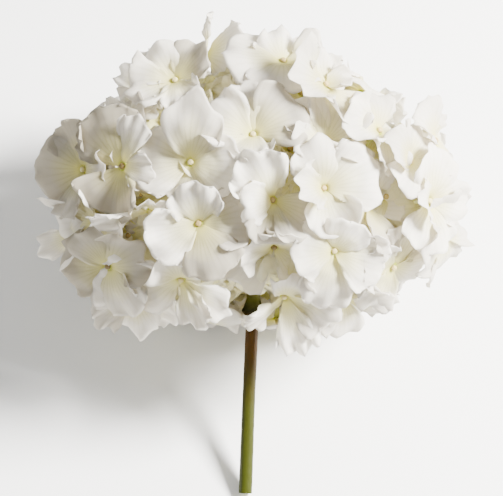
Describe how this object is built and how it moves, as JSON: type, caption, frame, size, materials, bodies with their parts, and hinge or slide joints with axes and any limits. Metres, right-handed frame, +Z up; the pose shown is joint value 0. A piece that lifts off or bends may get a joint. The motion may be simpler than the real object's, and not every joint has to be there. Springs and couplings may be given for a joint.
{
  "type": "cut mophead hydrangea flower",
  "caption": "White mophead hydrangea cut with a short bare stem, lying on its side: a rounded head of four-petalled florets on branching rays.",
  "frame": {"origin": "on the surface it lies on, under the middle of the whole flower's bounding box", "axes": "+Z up from the surface; the stem lies in the YZ plane, nearly, and rises towards the head, which is at +Y; +X across the head"},
  "size_m": [0.1928, 0.2014, 0.1506],
  "materials": {
    "petal": "soft matt white petals with faint veins and creamy bases",
    "ray": "pale green, matt, slightly downy flower branches",
    "stem": "smooth green stem with a reddish brown stretch under the head"
  },
  "bodies": {
    "root": {"stem": "stem", "ray_01": "ray", "ray_02": "ray", "ray_03": "ray", "ray_04": "ray", "ray_05": "ray", "ray_06": "ray", "floret_01": "petal", "floret_02": "petal", "floret_03": "petal", "floret_04": "petal", "floret_05": "petal", "floret_06": "petal", "floret_07": "petal", "floret_08": "petal", "floret_09": "petal", "floret_10": "petal", "floret_11": "petal", "floret_12": "petal", "floret_13": "petal", "floret_14": "petal", "floret_15": "petal", "floret_16": "petal", "floret_17": "petal", "floret_18": "petal", "floret_19": "petal", "floret_20": "petal", "floret_21": "petal", "floret_22": "petal", "floret_23": "petal", "floret_24": "petal", "floret_25": "petal", "floret_26": "petal", "floret_27": "petal", "floret_28": "petal", "floret_29": "petal", "floret_30": "petal", "floret_31": "petal", "floret_32": "petal", "floret_33": "petal", "floret_34": "petal", "floret_35": "petal", "floret_36": "petal", "floret_37": "petal", "floret_38": "petal", "floret_39": "petal", "floret_40": "petal", "floret_41": "petal", "floret_42": "petal", "floret_43": "petal", "floret_44": "petal", "floret_45": "petal", "floret_46": "petal", "floret_47": "petal", "floret_48": "petal", "floret_49": "petal", "floret_50": "petal", "floret_51": "petal", "floret_52": "petal", "floret_53": "petal"}
  },
  "joints": []
}
